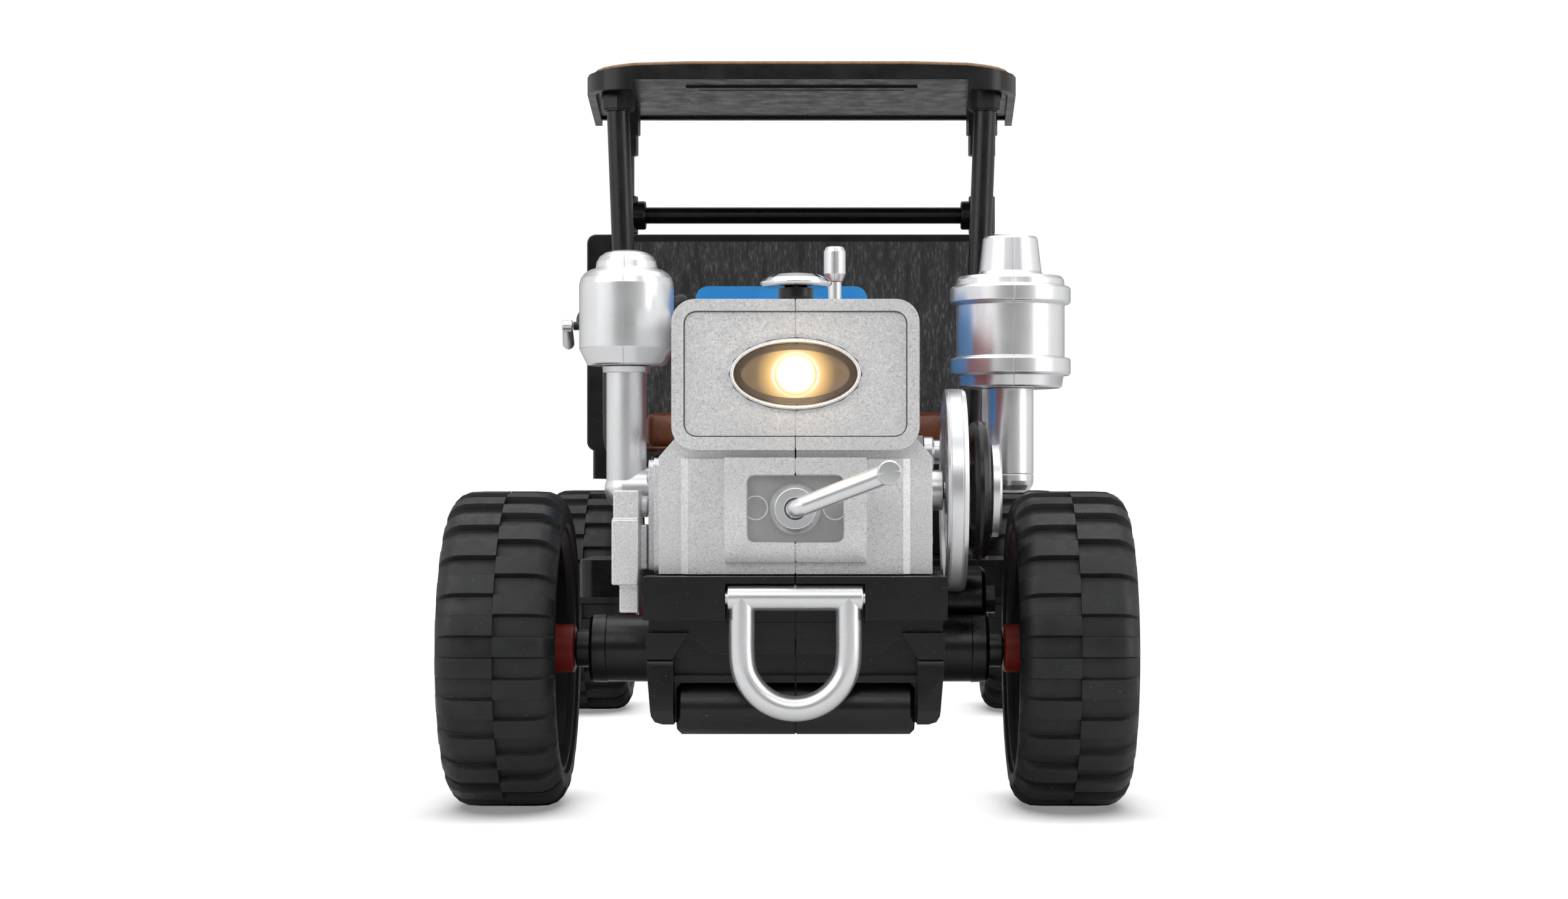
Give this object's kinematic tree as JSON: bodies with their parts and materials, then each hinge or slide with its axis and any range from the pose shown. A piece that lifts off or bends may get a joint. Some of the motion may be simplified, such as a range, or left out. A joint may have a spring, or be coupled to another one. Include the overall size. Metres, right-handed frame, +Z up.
{
  "type": "toy walking tractor with trailer",
  "caption": "Toy walking tractor with headlight, flywheel, crank and tow ring, hinged to a seat trailer with canopy, cargo bed and dropping tailgate.",
  "frame": {"origin": "on the ground, under the centre of the whole toy's box", "axes": "+Z up, the tractor faces -Y, the tailgate faces +Y, +X to the right as seen from the front"},
  "size_m": [0.1748, 0.414, 0.192],
  "materials": {
    "silver_paint": "sparkly silver paint on moulded plastic",
    "satin_silver": "smooth satin silver plating on plastic",
    "chrome": "bright chrome plating on plastic",
    "black_plastic": "satin black moulded plastic",
    "grey_plastic": "grey moulded plastic",
    "tyre": "soft black rubber",
    "red_plastic": "deep red moulded plastic",
    "blue_plastic": "glossy blue moulded plastic",
    "seat": "brown leathercloth with a soft shine",
    "wood_grain": "dark moulded wood grain",
    "roof_tan": "tan textured sheet",
    "lens": "smoky warm clear plastic",
    "bulb": "lit warm lamp",
    "steel": "turned steel"
  },
  "bodies": {
    "tractor": {"engine_left": "silver_paint", "engine_right": "silver_paint", "hopper_left": "silver_paint", "hopper_right": "silver_paint", "chassis_left": "black_plastic", "chassis_right": "black_plastic", "gearbox_left": "black_plastic", "gearbox_right": "black_plastic", "headlight_bezel": "silver_paint", "headlight_lens": "lens", "headlight_bulb": "bulb", "crank_bush": "satin_silver", "filler_neck": "black_plastic", "muffler": "satin_silver", "muffler_pipe": "satin_silver", "injection_pump": "silver_paint", "air_cleaner": "satin_silver", "air_cleaner_pipe": "satin_silver", "fuel_tank": "blue_plastic", "rear_cover": "red_plastic", "drive_motor": "steel", "handlebar_left": "black_plastic", "grip_left": "black_plastic", "handlebar_right": "black_plastic", "grip_right": "black_plastic"},
    "crank": {"crank_handle": "satin_silver"},
    "filler_cap": {"filler_cap": "chrome"},
    "throttle": {"throttle_lever": "satin_silver"},
    "flywheel": {"flywheel": "satin_silver", "pulley_ring": "black_plastic", "crankshaft": "satin_silver"},
    "tow_ring": {"tow_ring": "satin_silver"},
    "front_wheels": {"front_axle": "black_plastic", "axle_gear": "grey_plastic", "rim_front_left": "red_plastic", "rim_front_right": "red_plastic", "tyre_front_left": "tyre", "tyre_front_right": "tyre"},
    "pinion": {"motor_pinion": "grey_plastic"},
    "lever_left": {"squeeze_lever_left": "satin_silver"},
    "lever_right": {"squeeze_lever_right": "satin_silver"},
    "trailer": {"trailer_frame": "black_plastic", "seat_base": "black_plastic", "battery_pack": "grey_plastic", "seat_cushion": "seat", "front_wall": "black_plastic", "wall_panel": "wood_grain", "cargo_bed": "black_plastic", "canopy_roof": "black_plastic", "roof_skin": "roof_tan", "front_post_left": "black_plastic", "front_post_right": "black_plastic", "rear_hoop": "black_plastic", "rear_axle": "steel"},
    "tailgate": {"tailgate": "black_plastic"},
    "switch": {"power_switch": "grey_plastic"},
    "rear_wheel_left": {"rim_rear_left": "red_plastic", "tyre_rear_left": "tyre"},
    "rear_wheel_right": {"rim_rear_right": "red_plastic", "tyre_rear_right": "tyre"}
  },
  "joints": [
    {"name": "trailer_swing", "type": "hinge", "parent": "tractor", "child": "trailer", "pos_m": [0, -0.09, 0.045], "axis": [0, 0, 1], "range_deg": [-18, 18]},
    {"name": "front_axle_spin", "type": "hinge", "parent": "tractor", "child": "front_wheels", "pos_m": [-0.002, -0.142, 0.0375], "axis": [1, 0, 0], "continuous": true},
    {"name": "pinion_spin", "type": "hinge", "parent": "tractor", "child": "pinion", "pos_m": [0.0105, -0.1291, 0.0486], "axis": [1, 0, 0], "continuous": true},
    {"name": "flywheel_spin", "type": "hinge", "parent": "tractor", "child": "flywheel", "pos_m": [0.037, -0.154, 0.0753], "axis": [1, 0, 0], "continuous": true},
    {"name": "crank_turn", "type": "hinge", "parent": "tractor", "child": "crank", "pos_m": [0, -0.198, 0.0712], "axis": [0, 1, 0], "continuous": true},
    {"name": "tow_ring_swing", "type": "hinge", "parent": "tractor", "child": "tow_ring", "pos_m": [0, -0.192, 0.0515], "axis": [-1, 0, 0], "range_deg": [0, 100]},
    {"name": "filler_cap_lift", "type": "slide", "parent": "tractor", "child": "filler_cap", "axis": [0, 0, 1], "range_m": [0, 0.006]},
    {"name": "throttle_tilt", "type": "hinge", "parent": "tractor", "child": "throttle", "pos_m": [0.0088, -0.1515, 0.0897], "axis": [1, 0, 0], "range_deg": [-12, 12]},
    {"name": "squeeze_left", "type": "hinge", "parent": "tractor", "child": "lever_left", "pos_m": [-0.06, -0.0916, 0.1176], "axis": [1, 0, 0], "range_deg": [0, 7], "stiffness_Nm_per_rad": 0.01, "springref_deg": -2.86},
    {"name": "squeeze_right", "type": "hinge", "parent": "tractor", "child": "lever_right", "pos_m": [0.06, -0.0916, 0.1176], "axis": [1, 0, 0], "range_deg": [0, 7], "stiffness_Nm_per_rad": 0.01, "springref_deg": -2.86},
    {"name": "rear_left_spin", "type": "hinge", "parent": "trailer", "child": "rear_wheel_left", "pos_m": [-0.0737, 0.136, 0.0375], "axis": [1, 0, 0], "continuous": true},
    {"name": "rear_right_spin", "type": "hinge", "parent": "trailer", "child": "rear_wheel_right", "pos_m": [0.0737, 0.136, 0.0375], "axis": [1, 0, 0], "continuous": true},
    {"name": "tailgate_drop", "type": "hinge", "parent": "trailer", "child": "tailgate", "pos_m": [0, 0.206, 0.0823], "axis": [-1, 0, 0], "range_deg": [0, 90]},
    {"name": "switch_slide", "type": "slide", "parent": "trailer", "child": "switch", "axis": [1, 0, 0], "range_m": [0, 0.005]}
  ],
  "couplings": [
    {"joint": "pinion_spin", "follows": "front_axle_spin", "ratio": -2.25}
  ]
}
